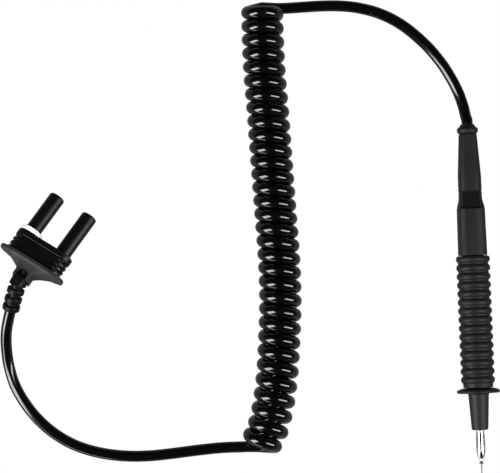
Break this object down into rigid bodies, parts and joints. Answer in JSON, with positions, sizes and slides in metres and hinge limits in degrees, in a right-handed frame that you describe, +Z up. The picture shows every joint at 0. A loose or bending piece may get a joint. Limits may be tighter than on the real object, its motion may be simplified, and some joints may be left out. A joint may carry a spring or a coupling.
{
  "type": "coiled test probe lead",
  "caption": "Hand test probe with a ribbed grip, finger guard and spring tip, joined by a retractile coiled cord to a shrouded twin plug.",
  "frame": {"origin": "bottom centre of the probe's own box, on the surface that the whole lead lies on", "axes": "+Y along the probe from its needle to its cable, +Z up from the surface, +X to the right"},
  "size_m": [0.2418, 0.2344, 0.0243],
  "materials": {
    "grip_rubber": "soft satin",
    "probe_plastic": "satin",
    "plug_plastic": "satin",
    "cover_plastic": "satin",
    "boot_rubber": "matte",
    "cord_jacket": "high gloss",
    "marker_plastic": "satin",
    "nickel": "bright nickel plate",
    "steel": "ground",
    "dark_metal": "dark oxide",
    "brass": "turned",
    "insulation": "smooth"
  },
  "bodies": {
    "lead": {"tip_needle": "steel", "tip_ferrule": "dark_metal", "contact_rod": "brass", "nose_and_finger_guard": "probe_plastic", "grip_sleeve": "grip_rubber", "core_tube": "probe_plastic", "rear_body": "probe_plastic", "tail_sleeve": "probe_plastic", "cable_collar": "probe_plastic", "probe_cable_end": "cord_jacket", "probe_cable_clamp": "brass", "probe_conductor_left": "insulation", "probe_conductor_right": "insulation", "plug_front_plate": "plug_plastic", "plug_housing": "plug_plastic", "plug_rear_cover": "cover_plastic", "shroud_left": "plug_plastic", "shroud_right": "plug_plastic", "pin_left": "brass", "pin_right": "brass", "plug_wire_left": "insulation", "plug_wire_right": "insulation", "plug_boot": "boot_rubber", "cord_probe_end": "cord_jacket", "cord_coil": "cord_jacket", "cord_plug_end": "cord_jacket"},
    "tip_basket": {"tip_spring_basket": "nickel"},
    "pin_basket_left": {"pin_spring_left": "nickel"},
    "pin_basket_right": {"pin_spring_right": "nickel"},
    "marker": {"marker_ring": "marker_plastic"}
  },
  "joints": [
    {"name": "tip_basket_spin", "type": "hinge", "parent": "lead", "child": "tip_basket", "pos_m": [0, -0.07152, 0.01145], "axis": [0, 0.9994, -0.0351], "continuous": true},
    {"name": "pin_basket_left_spin", "type": "hinge", "parent": "lead", "child": "pin_basket_left", "pos_m": [-0.20784, 0.049, 0.00709], "axis": [0.5766, 0.7597, -0.3007], "continuous": true},
    {"name": "pin_basket_right_spin", "type": "hinge", "parent": "lead", "child": "pin_basket_right", "pos_m": [-0.19232, 0.03883, 0.01117], "axis": [0.5766, 0.7597, -0.3007], "continuous": true},
    {"name": "marker_ring_slide", "type": "slide", "parent": "lead", "child": "marker", "axis": [0.5766, 0.7597, -0.3007], "range_m": [0, 0.021]}
  ]
}
